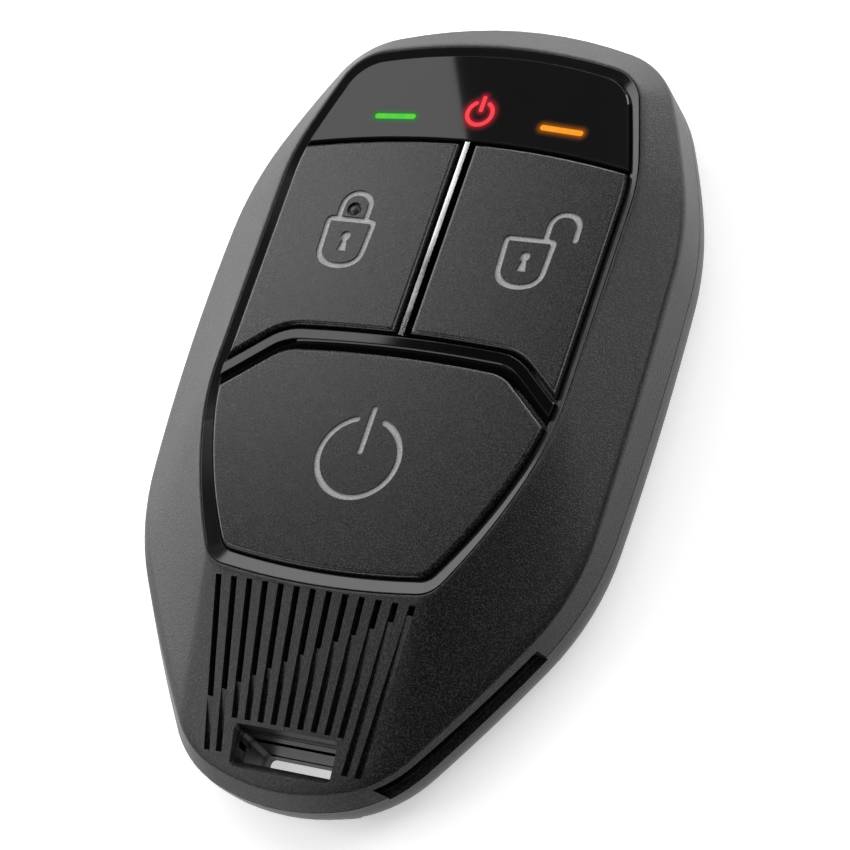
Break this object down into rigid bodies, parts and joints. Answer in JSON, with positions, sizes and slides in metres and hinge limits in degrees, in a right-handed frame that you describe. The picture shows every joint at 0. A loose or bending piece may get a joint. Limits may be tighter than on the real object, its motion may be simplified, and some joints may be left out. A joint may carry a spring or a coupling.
{
  "type": "car alarm remote",
  "caption": "Hand-held car alarm remote with lock, unlock and power keys, an indicator window, a sounder grille and a key-ring slot in a two-shell case.",
  "frame": {"origin": "middle of the flat back, under the middle of the case", "axes": "+Z out of the key face, +Y towards the indicator window, +X across the case towards the unlock key's side"},
  "size_m": [0.0474, 0.08, 0.0128],
  "materials": {
    "case_plastic": "fine grained, satin",
    "key_plastic": "fine grained, soft touch",
    "gloss_black": "polished",
    "bright_trim": "bright",
    "window": "polished, smoked",
    "board": "glass-fibre laminate with a green mask",
    "inner_black": "matt",
    "cell_can": "nickel plated",
    "contact": "sprung strip",
    "sounder_black": "moulded",
    "switch_metal": "pressed cap",
    "plunger_black": "moulded",
    "chip_black": "moulded",
    "antenna_copper": "tinned copper wire",
    "led_green": "small surface-mount lamp",
    "led_red": "small surface-mount lamp",
    "led_amber": "small surface-mount lamp",
    "guide_clear": "clear acrylic"
  },
  "bodies": {
    "rear": {"rear_cover": "case_plastic", "battery": "cell_can", "sounder": "sounder_black"},
    "front": {"front_cover": "case_plastic", "bezel_frame": "gloss_black", "indicator_window": "window", "button_divider": "bright_trim", "button_bridge": "gloss_black", "circuit_board": "board", "light_baffle": "inner_black", "battery_positive_contact": "contact", "battery_negative_contact": "contact", "sounder_contacts": "contact", "antenna_loop": "antenna_copper", "lock_switch": "switch_metal", "unlock_switch": "switch_metal", "power_switch": "switch_metal", "green_led": "led_green", "red_led": "led_red", "amber_led": "led_amber", "green_light_guide": "guide_clear", "red_light_guide": "guide_clear", "amber_light_guide": "guide_clear", "controller_chip": "chip_black", "radio_chip": "chip_black", "crystal": "switch_metal"},
    "lock_key": {"lock_button": "key_plastic"},
    "lock_plunger": {"lock_switch_plunger": "plunger_black"},
    "unlock_key": {"unlock_button": "key_plastic"},
    "unlock_plunger": {"unlock_switch_plunger": "plunger_black"},
    "power_key": {"power_button": "key_plastic"},
    "power_plunger": {"power_switch_plunger": "plunger_black"}
  },
  "joints": [
    {"name": "case_open", "type": "slide", "parent": "rear", "child": "front", "axis": [0, 0, 1], "range_m": [0, 0.02]},
    {"name": "lock_press", "type": "slide", "parent": "front", "child": "lock_key", "axis": [0, 0, -1], "range_m": [0, 0.0003], "stiffness_N_per_m": 400, "springref_m": -0.002},
    {"name": "lock_switch_press", "type": "slide", "parent": "front", "child": "lock_plunger", "axis": [0, 0, -1], "range_m": [0, 0.0003]},
    {"name": "unlock_press", "type": "slide", "parent": "front", "child": "unlock_key", "axis": [0, 0, -1], "range_m": [0, 0.0003], "stiffness_N_per_m": 400, "springref_m": -0.002},
    {"name": "unlock_switch_press", "type": "slide", "parent": "front", "child": "unlock_plunger", "axis": [0, 0, -1], "range_m": [0, 0.0003]},
    {"name": "power_press", "type": "slide", "parent": "front", "child": "power_key", "axis": [0, 0, -1], "range_m": [0, 0.0003], "stiffness_N_per_m": 400, "springref_m": -0.002},
    {"name": "power_switch_press", "type": "slide", "parent": "front", "child": "power_plunger", "axis": [0, 0, -1], "range_m": [0, 0.0003]}
  ],
  "couplings": [
    {"joint": "lock_switch_press", "follows": "lock_press", "ratio": 1},
    {"joint": "unlock_switch_press", "follows": "unlock_press", "ratio": 1},
    {"joint": "power_switch_press", "follows": "power_press", "ratio": 1}
  ]
}
